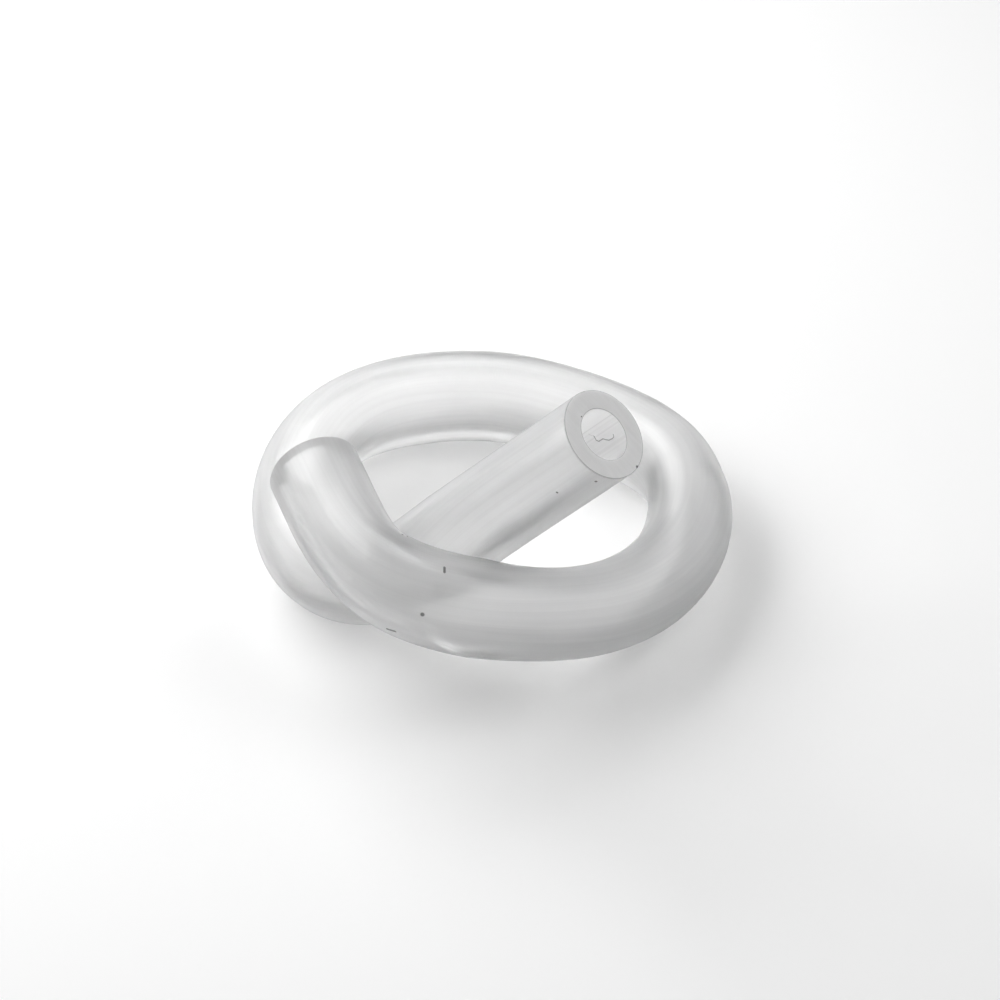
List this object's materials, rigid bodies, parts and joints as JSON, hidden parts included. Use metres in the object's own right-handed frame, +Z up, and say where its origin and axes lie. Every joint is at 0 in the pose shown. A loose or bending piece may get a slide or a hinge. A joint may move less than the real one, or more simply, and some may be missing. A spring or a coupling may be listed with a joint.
{
  "type": "silicone tubing coil",
  "caption": "Short length of soft translucent silicone tubing, cut square at both ends and lying in one loose coil with one end raised.",
  "frame": {"origin": "on the floor, under the middle of the coil's bounding box", "axes": "+Z up from the floor. +X runs along the coil's shorter side in plan and +Y along its longer side, away from the side where the raised end is cut. Seen from above the tube runs clockwise from its raised end."},
  "size_m": [0.037, 0.0396, 0.0274],
  "materials": {
    "silicone": "milky translucent silicone rubber, smooth extruded skin with a soft gloss"
  },
  "bodies": {
    "root": {"silicone_tube": "silicone"}
  },
  "joints": []
}
